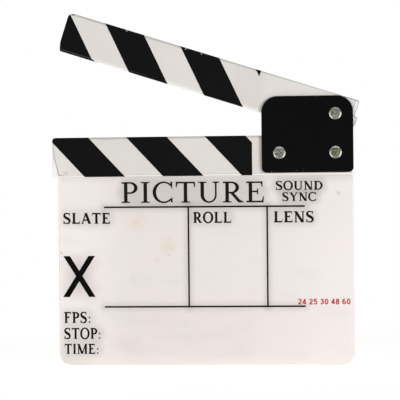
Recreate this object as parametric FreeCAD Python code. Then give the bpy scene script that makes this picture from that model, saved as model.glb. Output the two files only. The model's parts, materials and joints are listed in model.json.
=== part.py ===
import FreeCAD
import Part
import math
import os

# A clapperboard: a slate board set in a fixed lower stick, and an upper stick that claps down on it,
# swinging on a binding post between two hinge plates. The origin is the middle of the board's bottom
# edge, at half its thickness. +X runs towards the hinge, +Y to the rear and +Z up.
# Lengths are millimetres and angles are degrees.

# Slate board
BOARD_WIDTH = 290.0
BOARD_SHOWING = 185.2
BOARD_THICKNESS = 5.0
BOARD_CORNER_RADIUS = 12.0
BOARD_EDGE_BREAK = 0.8

# Both sticks
STICK_HEIGHT = 38.6
STICK_THICKNESS = 12.0
STICK_OVERHANG = 5.0
STICK_CORNER_RADIUS = 3.5
STICK_EDGE_RADIUS = 1.2
CLAP_GAP = 0.5

# Groove under the lower stick that holds the board
GROOVE_DEPTH = 12.0
GROOVE_CLEARANCE = 0.05

# Upper stick, whose heel is round about the pivot and ends in a flat that stops it when fully open.
# The lower stick is cut down under the heel, so that the round part can turn.
PIVOT_RISE = 20.0
CLAPPER_OVERREACH = 0.7
CLAPPER_TIP_RADIUS = 6.0
CLAPPER_TAPER = 2.3
CLAPPER_TAPER_RISE = 8.0
CLAPPER_TAPER_RADIUS = 30.0
HEEL_RADIUS = 21.9
HEEL_STEP = 3.5
HEEL_STEP_RISE = 3.0
HEEL_CORNER_RADIUS = 1.8
HEEL_RELIEF_MARGIN = 2.5
CLAPPER_PLAY = 0.05
REST_OPENING = 17.8
FULL_OPENING = 85.0

# White facing film on the front of both sticks
FILM_THICKNESS = 0.25
FILM_SETBACK = 0.2
FILM_TRIM_WIDTH = 6.4
FILM_TRIM_HEIGHT = 28.0
FILM_TRIM_BULGE_DEPTH = 1.0

# Black vinyl stripes, laid across both sticks while they are closed and trimmed short of the hinge
STRIPE_EDGE_COUNT = 5
STRIPE_START = -3.95
STRIPE_TAIL = 7.55
STRIPE_MARGIN = 9.4
STRIPE_SPREAD = 1.2
STRIPE_UPRIGHTNESS = 2.6
VINYL_THICKNESS = 0.15

# Hinge plates
PLATE_WIDTH = 89.0
PLATE_THICKNESS = 2.0
PLATE_CROWN = 17.4
PLATE_FOOT = 2.1
PLATE_TOP_RADIUS = 15.8
PLATE_BOTTOM_RADIUS = 5.0
PLATE_EDGE_BREAK = 0.4

# Binding posts, closed by slotted screws from behind
POST_INSET = 17.3
FIXED_POST_RISE = 9.5
BARREL_DIAMETER = 8.0
BARREL_SHORTFALL = 0.5
BORE_DEPTH = 12.0
HEAD_DIAMETER = 11.8
HEAD_HEIGHT = 2.0
HEAD_BEVEL = 1.2
SCREW_DIAMETER = 5.0
SCREW_LENGTH = 10.0
SLOT_WIDTH = 1.4
SLOT_DEPTH = 1.0
SLOT_TURNS = {"pivot": 24.0, "inner": -52.0, "outer": 78.0}

# Washers and the bush of the pivot
WASHER_DIAMETER = 16.0
WASHER_THICKNESS = 0.8
BUSH_DIAMETER = 11.0

# Countersunk screws that hold the board in the groove
BOARD_SCREW_COUNT = 4
BOARD_SCREW_FIRST = 18.0
BOARD_SCREW_LAST = 67.0
BOARD_SCREW_DIAMETER = 3.0
BOARD_SCREW_HEAD = 6.0
BOARD_SCREW_LENGTH = 10.0
BOARD_SCREW_SINK = 0.1
BOARD_SLOT_WIDTH = 0.8
BOARD_SLOT_DEPTH = 0.7

# Fits and cutting
HOLE_CLEARANCE = 0.05
RUNNING_CLEARANCE = 0.05
PRESS_CLEARANCE = 0.02
OVERRUN = 2.0
SAME_PLACE = 0.0001

# Places that follow from the sizes above
BOARD_EDGE = BOARD_WIDTH / 2
STICK_FREE_END = -BOARD_EDGE - STICK_OVERHANG
LOWER_BOTTOM = BOARD_SHOWING
LOWER_TOP = LOWER_BOTTOM + STICK_HEIGHT
STICK_REAR = STICK_THICKNESS / 2
STICK_FRONT = -STICK_REAR
CLAPPER_REAR = STICK_REAR - CLAPPER_PLAY
CLAPPER_FRONT = -CLAPPER_REAR
PLATE_RIGHT = BOARD_EDGE
PLATE_LEFT = PLATE_RIGHT - PLATE_WIDTH
PIVOT_X = PLATE_RIGHT - POST_INSET
PIVOT_Z = LOWER_TOP + CLAP_GAP + PIVOT_RISE
FIXED_POST_Z = LOWER_BOTTOM + GROOVE_DEPTH + FIXED_POST_RISE
PLATE_TOP = PIVOT_Z + PLATE_CROWN
PLATE_BOTTOM = LOWER_BOTTOM + PLATE_FOOT
CLAPPER_FREE_END = STICK_FREE_END - CLAPPER_OVERREACH
CLAPPER_REACH = PIVOT_X - CLAPPER_FREE_END
CLAPPER_TOP = STICK_HEIGHT - PIVOT_RISE
HEEL_RELIEF = HEEL_RADIUS - PIVOT_RISE
HEEL_RELIEF_START = PIVOT_X - math.sqrt(HEEL_RADIUS ** 2 - PIVOT_RISE ** 2) - HEEL_RELIEF_MARGIN
FRONT_PLATE_INNER = STICK_FRONT - FILM_THICKNESS - WASHER_THICKNESS
FRONT_PLATE_OUTER = FRONT_PLATE_INNER - PLATE_THICKNESS
REAR_PLATE_INNER = STICK_REAR + WASHER_THICKNESS
REAR_PLATE_OUTER = REAR_PLATE_INNER + PLATE_THICKNESS
FILM_INSET = STICK_EDGE_RADIUS + FILM_SETBACK
STRIPE_END = PLATE_LEFT - STRIPE_MARGIN
STRIPE_PACE = (STRIPE_END - STICK_FREE_END - STRIPE_TAIL - STRIPE_START) / STRIPE_EDGE_COUNT
STRIPE_WIDTH = STRIPE_PACE + STRIPE_SPREAD
STRIPE_SLOPE = (STRIPE_PACE - STRIPE_UPRIGHTNESS) / STICK_HEIGHT
HOLE_RADIUS = BARREL_DIAMETER / 2 + HOLE_CLEARANCE
BOARD_SCREW_Z = LOWER_BOTTOM + GROOVE_DEPTH / 2
POSTS = {
    "pivot": (PIVOT_X, PIVOT_Z),
    "inner": (PLATE_LEFT + POST_INSET, FIXED_POST_Z),
    "outer": (PIVOT_X, FIXED_POST_Z),
}
FIXED_POSTS = ("inner", "outer")


def point(x, y, z):
    return FreeCAD.Vector(x, y, z)


def outline(corners):
    """Closed wire in the plane y = 0 through corners (x, z, radius), each rounded by its radius."""
    starts = []
    ends = []
    arcs = []
    count = len(corners)
    for i in range(count):
        x, z, radius = corners[i]
        corner = point(x, 0, z)
        before = point(corners[i - 1][0], 0, corners[i - 1][1]) - corner
        after = point(corners[(i + 1) % count][0], 0, corners[(i + 1) % count][1]) - corner
        before.normalize()
        after.normalize()
        half_angle = before.getAngle(after) / 2
        run = radius / math.tan(half_angle)
        starts.append(corner + before * run)
        ends.append(corner + after * run)
        inward = before + after
        inward.normalize()
        arcs.append(corner + inward * (radius / math.sin(half_angle) - radius))
    edges = []
    for i in range(count):
        if corners[i][2] > 0:
            edges.append(Part.Arc(starts[i], arcs[i], ends[i]).toShape())
        following = starts[(i + 1) % count]
        if (following - ends[i]).Length > SAME_PLACE:
            edges.append(Part.LineSegment(ends[i], following).toShape())
    return Part.Wire(edges)


def slab(wire, front, rear):
    """Solid between y = front and y = rear with the wire as its outline."""
    face = Part.Face(wire)
    face.translate(point(0, front, 0))
    return face.extrude(point(0, rear - front, 0))


def block(left, right, front, rear, low, high):
    return Part.makeBox(right - left, rear - front, high - low, point(left, front, low))


def rod(x, z, radius, front, rear):
    return Part.makeCylinder(radius, rear - front, point(x, front, z), point(0, 1, 0))


def tube(x, z, outer_radius, inner_radius, front, rear):
    bore = rod(x, z, inner_radius, front - OVERRUN, rear + OVERRUN)
    return rod(x, z, outer_radius, front, rear).cut(bore)


def turned(x, z, profile):
    """Solid of revolution about the line along Y through (x, z), from a profile of (radius, y)."""
    points = [point(x + radius, y, z) for radius, y in profile]
    face = Part.Face(Part.makePolygon(points + points[:1]))
    return face.revolve(point(x, 0, z), point(0, 1, 0), 360)


def rim(solid, y):
    """Edges of a solid that lie in the plane at y."""
    edges = []
    for edge in solid.Edges:
        flat = all(abs(vertex.Y - y) < SAME_PLACE for vertex in edge.Vertexes)
        if flat and abs(edge.CenterOfMass.y - y) < SAME_PLACE:
            edges.append(edge)
    return edges


def eased_bar(left, right, front, rear, low, high, radius):
    """Square bar along X with all its edges rounded by one radius."""
    bar = block(left, right, front, rear, low, high)
    return bar.makeFillet(radius, bar.Edges)


def stop_flat_x(z, radius):
    """Where the heel's stop flat, tangent to a circle about the pivot, stands at a height above it."""
    turn = math.radians(FULL_OPENING)
    return (radius + z * math.cos(turn)) / math.sin(turn)


def clapper_nose_x():
    return stop_flat_x(HEEL_STEP_RISE, HEEL_RADIUS)


def clapper_end(free_end, bottom, top, growth):
    """Corners of the upper stick's free end, tapered below and rounded above, grown by a margin."""
    return [
        (free_end - growth + CLAPPER_TAPER, bottom - growth, 0),
        (free_end - growth, bottom + CLAPPER_TAPER_RISE, CLAPPER_TAPER_RADIUS + growth),
        (free_end - growth, top + growth, CLAPPER_TIP_RADIUS + growth),
    ]


def clapper_slab(inset, front, rear):
    """Closed upper stick about its pivot between two faces, drawn in from the true edge by an inset."""
    radius = HEEL_RADIUS - inset
    bottom = inset - PIVOT_RISE
    top = CLAPPER_TOP - inset
    nose_radius = HEEL_CORNER_RADIUS - inset
    shoulder = HEEL_STEP_RISE - inset
    heel_end = clapper_nose_x() - HEEL_STEP - inset
    bar = clapper_end(-CLAPPER_REACH, -PIVOT_RISE, CLAPPER_TOP, -inset)
    bar += [(clapper_nose_x(), top, 0), (clapper_nose_x(), bottom, 0)]
    heel = [
        (-CLAPPER_REACH - OVERRUN, -radius, 0),
        (-CLAPPER_REACH - OVERRUN, top, 0),
        (heel_end, top, nose_radius),
        (heel_end, shoulder, 0),
        (stop_flat_x(shoulder, radius), shoulder, nose_radius),
        (stop_flat_x(-radius, radius), -radius, radius),
    ]
    return slab(outline(bar), front, rear).common(slab(outline(heel), front, rear))


def lower_outline(inset):
    """Outline of the lower stick, drawn in from the true edge by an inset."""
    corners = [
        (STICK_FREE_END + inset, LOWER_BOTTOM + inset, 0),
        (STICK_FREE_END + inset, LOWER_TOP - inset, STICK_CORNER_RADIUS - inset),
        (BOARD_EDGE - inset, LOWER_TOP - inset, 0),
        (BOARD_EDGE - inset, LOWER_BOTTOM + inset, 0),
    ]
    return outline(corners)


def swung(shape):
    """Take a shape drawn about the pivot of the closed clapper to its place at rest, partly open."""
    shape.rotate(point(0, 0, 0), point(0, 1, 0), REST_OPENING)
    shape.translate(point(PIVOT_X, 0, PIVOT_Z))
    return shape


def board_screw_places():
    first = STICK_FREE_END + BOARD_SCREW_FIRST
    pitch = (BOARD_EDGE - BOARD_SCREW_LAST - first) / (BOARD_SCREW_COUNT - 1)
    return [first + i * pitch for i in range(BOARD_SCREW_COUNT)]


def countersunk(x, face, clearance):
    """Screw with a right-angled cone up to a face, or its hole when the cone runs on and has clearance."""
    sunk = STICK_REAR - BOARD_SCREW_SINK
    head = BOARD_SCREW_HEAD / 2 + clearance
    shank = BOARD_SCREW_DIAMETER / 2 + clearance
    tip = sunk - BOARD_SCREW_LENGTH - clearance
    neck = sunk - (head - shank)
    mouth = head + face - sunk
    return turned(x, BOARD_SCREW_Z, [(0, tip), (shank, tip), (shank, neck), (mouth, face), (0, face)])


def board_screw_holes():
    return [countersunk(x, STICK_REAR + OVERRUN, HOLE_CLEARANCE) for x in board_screw_places()]


def slate_board():
    top = LOWER_BOTTOM + GROOVE_DEPTH
    corners = [
        (-BOARD_EDGE, 0, BOARD_CORNER_RADIUS),
        (-BOARD_EDGE, top, 0),
        (BOARD_EDGE, top, 0),
        (BOARD_EDGE, 0, BOARD_CORNER_RADIUS),
    ]
    half = BOARD_THICKNESS / 2
    sheet = slab(outline(corners), -half, half)
    sheet = sheet.makeChamfer(BOARD_EDGE_BREAK, rim(sheet, -half) + rim(sheet, half))
    return sheet.cut(board_screw_holes())


def heel_relief(margin):
    """What is cut from the lower stick to let the heel turn, grown by a margin."""
    return block(
        HEEL_RELIEF_START - margin,
        BOARD_EDGE + OVERRUN,
        STICK_FRONT - OVERRUN,
        STICK_REAR + OVERRUN,
        LOWER_TOP - HEEL_RELIEF - margin,
        LOWER_TOP + OVERRUN,
    )


def lower_bar():
    """Lower stick before its groove, its relief and its holes are cut."""
    bar = eased_bar(
        STICK_FREE_END, BOARD_EDGE, STICK_FRONT, STICK_REAR, LOWER_BOTTOM, LOWER_TOP, STICK_EDGE_RADIUS
    )
    return bar.common(slab(lower_outline(0), STICK_FRONT, STICK_REAR))


def lower_stick():
    half_groove = BOARD_THICKNESS / 2 + GROOVE_CLEARANCE
    groove_start = -BOARD_EDGE - GROOVE_CLEARANCE
    groove_roof = LOWER_BOTTOM + GROOVE_DEPTH
    groove = block(
        groove_start, BOARD_EDGE + OVERRUN, -half_groove, half_groove, LOWER_BOTTOM - OVERRUN, groove_roof
    )
    cuts = [groove, heel_relief(0)] + board_screw_holes()
    for name in FIXED_POSTS:
        x, z = POSTS[name]
        cuts.append(rod(x, z, HOLE_RADIUS, STICK_FRONT - OVERRUN, STICK_REAR + OVERRUN))
    return lower_bar().cut(cuts)


def film_trim():
    """The corner that was cut off the lower film at the free end, along a shallow arc."""
    low = LOWER_BOTTOM + FILM_INSET
    left = STICK_FREE_END + FILM_INSET
    upper = point(left, 0, low + FILM_TRIM_HEIGHT)
    lower = point(left + FILM_TRIM_WIDTH, 0, low)
    outward = point(-FILM_TRIM_HEIGHT, 0, -FILM_TRIM_WIDTH)
    outward.normalize()
    bulge = (upper + lower) * 0.5 + outward * FILM_TRIM_BULGE_DEPTH
    below = point(lower.x, 0, low - OVERRUN)
    corner = point(left - OVERRUN, 0, low - OVERRUN)
    above = point(left - OVERRUN, 0, upper.z)
    arc = Part.Arc(upper, bulge, lower).toShape()
    sides = Part.makePolygon([lower, below, corner, above, upper])
    wire = Part.Wire([arc] + sides.Edges)
    return slab(wire, STICK_FRONT - FILM_THICKNESS - OVERRUN, STICK_FRONT + OVERRUN)


def lower_stick_film():
    sheet = slab(lower_outline(FILM_INSET), STICK_FRONT - FILM_THICKNESS, STICK_FRONT)
    cuts = [film_trim(), heel_relief(FILM_INSET)]
    for name in FIXED_POSTS:
        x, z = POSTS[name]
        cuts.append(rod(x, z, HOLE_RADIUS, STICK_FRONT - OVERRUN, STICK_FRONT + OVERRUN))
    return sheet.cut(cuts)


def clapper_bar():
    """Upper stick without its bore, closed and drawn about its pivot."""
    bar = eased_bar(
        -CLAPPER_REACH,
        clapper_nose_x(),
        CLAPPER_FRONT,
        CLAPPER_REAR,
        -PIVOT_RISE,
        CLAPPER_TOP,
        STICK_EDGE_RADIUS,
    )
    return bar.common(clapper_slab(0, CLAPPER_FRONT, CLAPPER_REAR))


def upper_stick():
    bore = rod(0, 0, BUSH_DIAMETER / 2 + PRESS_CLEARANCE, CLAPPER_FRONT - OVERRUN, CLAPPER_REAR + OVERRUN)
    return swung(clapper_bar().cut(bore))


def closed_clapper_film():
    sheet = clapper_slab(FILM_INSET, CLAPPER_FRONT - FILM_THICKNESS, CLAPPER_FRONT)
    hole = rod(0, 0, BUSH_DIAMETER / 2 + PRESS_CLEARANCE, CLAPPER_FRONT - OVERRUN, CLAPPER_FRONT + OVERRUN)
    return sheet.cut(hole)


def upper_stick_film():
    return swung(closed_clapper_film())


def sleeve(end, low, high, front, rear):
    """Rounded vinyl skin round the striped length of a stick, before the stick is taken out of it.

    The end is the corners of the skin's free end, from its lower to its upper edge.
    """
    left = min(corner[0] for corner in end)
    top = high + VINYL_THICKNESS
    near = front - FILM_THICKNESS - VINYL_THICKNESS
    far = rear + VINYL_THICKNESS
    radius = STICK_EDGE_RADIUS + VINYL_THICKNESS
    skin = eased_bar(left, STRIPE_END + STRIPE_WIDTH, near, far, low - VINYL_THICKNESS, top, radius)
    corners = end + [(STRIPE_END, top, 0), (STRIPE_END, end[0][1], 0)]
    return skin.common(slab(outline(corners), near, far))


def stripes(skin, join, low, high):
    """Cut the diagonal black bands out of a skin. Bands are set out along the closed joint of the sticks."""
    bottom = low - OVERRUN
    top = high + OVERRUN
    start = STICK_FREE_END + STRIPE_START
    last = STRIPE_END + (top - bottom) * STRIPE_SLOPE
    bands = []
    while start < last:
        low_edge = start + (join - bottom) * STRIPE_SLOPE
        high_edge = start + (join - top) * STRIPE_SLOPE
        corners = [
            (low_edge, bottom, 0),
            (high_edge, top, 0),
            (high_edge + STRIPE_WIDTH, top, 0),
            (low_edge + STRIPE_WIDTH, bottom, 0),
        ]
        band = skin.common(slab(outline(corners), skin.BoundBox.YMin, skin.BoundBox.YMax))
        bands += band.Solids
        start += 2 * STRIPE_PACE
    return bands


def lower_stripes():
    left = STICK_FREE_END - VINYL_THICKNESS
    corner = STICK_CORNER_RADIUS + VINYL_THICKNESS
    end = [(left, LOWER_BOTTOM, 0), (left, LOWER_TOP + VINYL_THICKNESS, corner)]
    skin = sleeve(end, LOWER_BOTTOM, LOWER_TOP, STICK_FRONT, STICK_REAR)
    skin = skin.cut([lower_bar(), lower_stick_film()])
    return stripes(skin, LOWER_TOP, LOWER_BOTTOM, LOWER_TOP)


def upper_stripes():
    low = LOWER_TOP + CLAP_GAP
    high = low + STICK_HEIGHT
    end = clapper_end(CLAPPER_FREE_END, low, high, VINYL_THICKNESS)
    skin = sleeve(end, low, high, CLAPPER_FRONT, CLAPPER_REAR)
    closed = point(PIVOT_X, 0, PIVOT_Z)
    bar = clapper_bar()
    film = closed_clapper_film()
    bar.translate(closed)
    film.translate(closed)
    bands = stripes(skin.cut([bar, film]), LOWER_TOP, low, high)
    for band in bands:
        band.translate(-closed)
    return [swung(band) for band in bands]


def hinge_plate(inner, outer):
    """Plate with its broken edge on the outer side."""
    corners = [
        (PLATE_LEFT, PLATE_BOTTOM, PLATE_BOTTOM_RADIUS),
        (PLATE_LEFT, PLATE_TOP, PLATE_TOP_RADIUS),
        (PLATE_RIGHT, PLATE_TOP, PLATE_TOP_RADIUS),
        (PLATE_RIGHT, PLATE_BOTTOM, PLATE_BOTTOM_RADIUS),
    ]
    front = min(inner, outer)
    rear = max(inner, outer)
    plate = slab(outline(corners), front, rear)
    plate = plate.makeChamfer(PLATE_EDGE_BREAK, rim(plate, outer))
    return plate.cut([rod(x, z, HOLE_RADIUS, front - OVERRUN, rear + OVERRUN) for x, z in POSTS.values()])


def binding_post(name):
    """Plain bevelled head in front of the plates, and a hollow barrel through them."""
    x, z = POSTS[name]
    head = HEAD_DIAMETER / 2
    barrel = BARREL_DIAMETER / 2
    bore = SCREW_DIAMETER / 2 + HOLE_CLEARANCE
    face = FRONT_PLATE_OUTER - HEAD_HEIGHT
    end = REAR_PLATE_OUTER - BARREL_SHORTFALL
    profile = [
        (0, face),
        (head - HEAD_BEVEL, face),
        (head, face + HEAD_BEVEL),
        (head, FRONT_PLATE_OUTER),
        (barrel, FRONT_PLATE_OUTER),
        (barrel, end),
        (bore, end),
        (bore, end - BORE_DEPTH),
        (0, end - BORE_DEPTH),
    ]
    return turned(x, z, profile)


def post_screw(name):
    """Slotted screw that closes a binding post against the rear plate."""
    x, z = POSTS[name]
    head = HEAD_DIAMETER / 2
    shank = SCREW_DIAMETER / 2
    face = REAR_PLATE_OUTER + HEAD_HEIGHT
    tip = REAR_PLATE_OUTER - SCREW_LENGTH
    profile = [
        (0, tip),
        (shank, tip),
        (shank, REAR_PLATE_OUTER),
        (head, REAR_PLATE_OUTER),
        (head, face - HEAD_BEVEL),
        (head - HEAD_BEVEL, face),
        (0, face),
    ]
    half_slot = SLOT_WIDTH / 2
    reach = head + OVERRUN
    slot = block(x - reach, x + reach, face - SLOT_DEPTH, face + OVERRUN, z - half_slot, z + half_slot)
    slot.rotate(point(x, 0, z), point(0, 1, 0), SLOT_TURNS[name])
    return turned(x, z, profile).cut(slot)


def washer(name, front, rear):
    x, z = POSTS[name]
    return tube(x, z, WASHER_DIAMETER / 2, HOLE_RADIUS, front, rear)


def pivot_bush():
    bore = BARREL_DIAMETER / 2 + RUNNING_CLEARANCE
    return tube(PIVOT_X, PIVOT_Z, BUSH_DIAMETER / 2, bore, CLAPPER_FRONT - FILM_THICKNESS, CLAPPER_REAR)


def board_screws():
    screws = []
    half_slot = BOARD_SLOT_WIDTH / 2
    face = STICK_REAR - BOARD_SCREW_SINK
    reach = BOARD_SCREW_HEAD
    for x in board_screw_places():
        slot = block(
            x - reach,
            x + reach,
            face - BOARD_SLOT_DEPTH,
            face + OVERRUN,
            BOARD_SCREW_Z - half_slot,
            BOARD_SCREW_Z + half_slot,
        )
        screws.append(countersunk(x, face, 0).cut(slot))
    return Part.makeCompound(screws)


def pieces():
    """Every node's name with its solid."""
    nodes = {
        "slate_board": slate_board(),
        "lower_stick": lower_stick(),
        "lower_stick_film": lower_stick_film(),
        "upper_stick": upper_stick(),
        "upper_stick_film": upper_stick_film(),
        "pivot_bush": pivot_bush(),
        "front_hinge_plate": hinge_plate(FRONT_PLATE_INNER, FRONT_PLATE_OUTER),
        "rear_hinge_plate": hinge_plate(REAR_PLATE_INNER, REAR_PLATE_OUTER),
        "front_pivot_washer": washer("pivot", FRONT_PLATE_INNER, FRONT_PLATE_INNER + WASHER_THICKNESS),
        "rear_pivot_washer": washer("pivot", REAR_PLATE_INNER - WASHER_THICKNESS, REAR_PLATE_INNER),
        "board_screws": board_screws(),
    }
    for name in POSTS:
        nodes[name + "_post"] = binding_post(name)
        nodes[name + "_screw"] = post_screw(name)
    for name in FIXED_POSTS:
        nodes[name + "_front_spacer"] = washer(name, FRONT_PLATE_INNER, FRONT_PLATE_INNER + WASHER_THICKNESS)
        nodes[name + "_rear_spacer"] = washer(name, REAR_PLATE_INNER - WASHER_THICKNESS, REAR_PLATE_INNER)
    for i, band in enumerate(lower_stripes()):
        nodes["lower_stripe_" + str(i + 1)] = band
    for i, band in enumerate(upper_stripes()):
        nodes["upper_stripe_" + str(i + 1)] = band
    return nodes


os.makedirs("parts", exist_ok=True)
for node, shape in pieces().items():
    shape.exportStep("parts/" + node + ".step")
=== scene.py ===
import json
import math
from functools import reduce

import bpy
import numpy as np
from mathutils import Matrix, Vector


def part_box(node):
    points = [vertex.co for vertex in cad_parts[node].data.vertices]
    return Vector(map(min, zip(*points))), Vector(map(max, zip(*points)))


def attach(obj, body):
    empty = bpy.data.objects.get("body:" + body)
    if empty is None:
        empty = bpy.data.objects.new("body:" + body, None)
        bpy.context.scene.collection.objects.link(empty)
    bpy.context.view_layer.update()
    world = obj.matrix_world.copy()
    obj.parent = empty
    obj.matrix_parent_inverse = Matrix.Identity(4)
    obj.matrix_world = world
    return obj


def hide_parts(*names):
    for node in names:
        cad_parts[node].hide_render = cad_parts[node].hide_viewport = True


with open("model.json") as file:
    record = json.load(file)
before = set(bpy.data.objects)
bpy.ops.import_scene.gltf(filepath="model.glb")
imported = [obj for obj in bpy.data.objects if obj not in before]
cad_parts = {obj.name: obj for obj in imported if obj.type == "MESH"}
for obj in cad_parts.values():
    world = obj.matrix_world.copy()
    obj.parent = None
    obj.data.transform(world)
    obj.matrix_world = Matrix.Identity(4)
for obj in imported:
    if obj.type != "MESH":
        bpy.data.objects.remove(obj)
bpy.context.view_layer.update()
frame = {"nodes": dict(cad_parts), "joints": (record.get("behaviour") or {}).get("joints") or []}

# Lengths in this file are millimetres, and the meshes are metres.
MM = 0.001
PER_METRE = 1000.0

# Sizes of the solids that their boxes do not give
HEAD_RADIUS = 5.9
PLATE_TOP_RADIUS = 15.8
PLATE_BOTTOM_RADIUS = 5.0
HEEL_CUT_START = 113.0
HEEL_CUT_TOP = 220.5
EDGE_RADIUS = 1.2

# The upper stick in its own line: free end and heel on each side of the pivot, and lower edge below it
CLAPPER_TIP = 278.4
CLAPPER_HEEL = 18.75
CLAPPER_BELOW = 20.0
HEEL_END = CLAPPER_TIP + CLAPPER_HEEL


def corners(node):
    """The lowest and the highest corner of a solid."""
    return [np.array(corner) * PER_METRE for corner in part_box(node)]


def post_axis(post):
    """Where a post's axis meets the front: a head radius in from its right side, and midway up."""
    low, high = corners(post + "_post")
    return high[0] - HEAD_RADIUS, (low[2] + high[2]) / 2


# Places read from the solids and the hinge
hinge = frame["joints"][0]
PIVOT_X, _, PIVOT_Z = (PER_METRE * value for value in hinge["pos_m"])
REST_OPENING = math.radians(-hinge["range_deg"][0])
OPEN_COSINE = math.cos(REST_OPENING)
OPEN_SINE = math.sin(REST_OPENING)
board_low, board_high = corners("slate_board")
stick_low, stick_high = corners("lower_stick")
film_low, film_high = corners("lower_stick_film")
plate_low, plate_high = corners("front_hinge_plate")
BOARD_FACE = board_low[1]
STICK_HEIGHT = stick_high[2] - stick_low[2]
FILM_INSET = film_low[2] - stick_low[2]
CLAPPER_FRONT = corners("upper_stick")[0][1]
SCREW_ROW = (0.0, sum(corners("board_screws"))[2] / 2)

# The camera that sees the object as the photograph does, its turns in degrees
CAMERA_PLACE = (125.4, -1637.7, 168.1)
CAMERA_YAW = 4.559
CAMERA_PITCH = -0.228
CAMERA_ROLL = -0.578
FOCAL_PIXELS = 1676.3
PICTURE_PIXELS = 400
SENSOR_WIDTH = 36.0
NEAR_CLIP = 50.0
FAR_CLIP = 50000.0

# Each line of the legend: its words, left and right ends, base line at each end, and cap height
TITLE = [("PICTURE", -83.3, 58.4, 159.4, 158.7, 20.5)]
SIDE_LINES = [("SOUND", 68.9, 115.1, 170.6, 170.3, 8.8), ("SYNC", 75.2, 108.9, 159.7, 159.6, 8.5)]
HEADINGS = [
    ("SLATE", -140.6, -93.5, 139.3, 139.0, 10.8),
    ("ROLL", -12.2, 25.8, 139.1, 138.9, 10.8),
    ("LENS", 66.7, 106.3, 138.9, 138.8, 11.0),
]
ROW_LABELS = [
    ("FPS:", -140.6, -113.3, 41.7, 41.6, 10.9),
    ("STOP:", -140.8, -103.5, 25.9, 25.8, 10.9),
    ("TIME:", -140.5, -105.7, 11.1, 11.1, 10.0),
]
SPEEDS = [
    ("24", 89.9, 98.1, 59.0, 58.9, 5.4),
    ("25", 100.6, 108.8, 58.9, 58.9, 5.4),
    ("30", 111.4, 119.5, 58.9, 58.9, 5.4),
    ("48", 122.1, 130.3, 58.9, 58.9, 5.4),
    ("60", 132.8, 141.0, 58.9, 58.9, 5.4),
]
# Ruled lines and the arms of the cross, each from x and z to x and z
RULES = [
    (-99.9, 155.27, 97.3, 154.71),
    (-99.9, 57.33, 97.3, 57.15),
    (-16.6, 155.75, -16.6, 56.86),
    (60.6, 155.39, 60.5, 56.88),
]
RULE_WIDTH = 1.7
CROSS_ARMS = [(-137.3, 107.57, -112.1, 67.25), (-138.0, 67.17, -112.4, 107.65)]
CROSS_WIDTH = 6.5
# How far the legend stands before the board and reaches into it, and what each later stroke adds
LEGEND_RISE = 0.04
LEGEND_SINK = 0.05
RISE_STEP = 0.0015
CROSS_RISE_STEP = 4 * RISE_STEP

# Painted shade on the board under the lower stick and beside the legend: its share, and how far it reaches
STICK_HALO = 0.22
STICK_HALO_RIGHT = 0.14
STICK_HALO_REACH = 9.0
RULE_HALO = 0.26
RULE_HALO_REACH = 7.5
CROSS_HALO = 0.21
CROSS_HALO_INSET = 0.2
CROSS_HALO_NEAR = 2.0
CROSS_HALO_REACH = 17.0
TITLE_HALO = 0.34
SMALL_HALO = 0.23
LETTER_HALO_NEAR = 0.8
LETTER_HALO_REACH = 8.0

# Soft rectangles on the board: left, right, low, high, and how far they fade
TITLE_GREY = (-60.0, 150.0, 165.0, 200.0, 60.0)
WIPED_OFF = (-78.0, 34.0, 20.0, 42.0, 26.0)
# Stains and specks on the board: x, z, radius, share and colour
MARKS = [
    (-67.7, 141.6, 13.0, 0.6, (231, 213, 194)),
    (-68.2, 140.6, 3.2, 0.5, (232, 203, 192)),
    (-36.9, 117.3, 13.0, 0.6, (222, 213, 188)),
    (-48.4, 102.6, 5.5, 0.5, (222, 213, 194)),
    (-35.5, 107.7, 1.8, 0.6, (186, 174, 170)),
    (-20.7, 103.4, 9.0, 0.35, (224, 215, 196)),
    (-71.0, 86.0, 6.0, 0.4, (224, 215, 200)),
    (130.1, 167.1, 3.2, 0.6, (190, 180, 170)),
    (-142.4, 110.8, 2.4, 0.6, (200, 188, 186)),
]
# Other spots: x, z and radius
DULL_CORNER = (-135.0, 6.0, 34.0)
FILM_RUST = (-136.8, 189.0, 4.2)
BAND_NICKS = [(-75.0, 328.1, 1.2), (-17.3, 309.3, 1.2), (-1.9, 304.1, 1.0)]
PLATE_CHIPS = [(90.2, 189.6, 0.6), (96.5, 190.5, 0.5), (65.5, 188.4, 0.7)]

# The lower facing film, whose free end is trimmed in a curve and whose lower corner has lifted
TRIM_WIDTH = 5.3
TRIM_TOP = 32.4
TRIM_HEIGHT = 31.0
TRIM_POWER = 2.1
LIFT = 0.9
LIFT_REACH = 12.0
LIFT_HEIGHT_SHARE = 0.55
LIFT_BACK_SHARE = 0.9
FILM_ROWS = 40
FILM_COLUMNS = 150

# The tail of the first upper band: vinyl wrapped round the stick's lower edge on the slant
TAIL_START = 34.6
TAIL_END = 36.6
TAIL_SLANT = 0.93
TAIL_DEPTH = 5.0
TAIL_THICKNESS = 0.13
TAIL_ROUND_POINTS = 9
TAIL_FLAT_POINTS = 4
TAIL_COLUMNS = 7

# Each post: the colour of its steel, the share of matt painted highlight on its head's crest, and how far,
# in radians, the rubbed lines are turned on its head and on its screw
POSTS = {
    "pivot": ((218, 215, 197), 0.25, 0.9, 2.1),
    "inner": ((212, 211, 199), 0.6, 1.7, 1.4),
    "outer": ((182, 182, 144), 0.6, 2.5, 0.7),
}
ZINC = (186, 187, 186)
BOARD_SCREW_TURN = 0.5
BRASS = (214, 186, 122)
BUSH_TURN = 0.3
# How many tool rings and rubbed lines go to a millimetre
TOOL_RINGS = 7.0
RUBBED_LINES = 1.6

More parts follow.
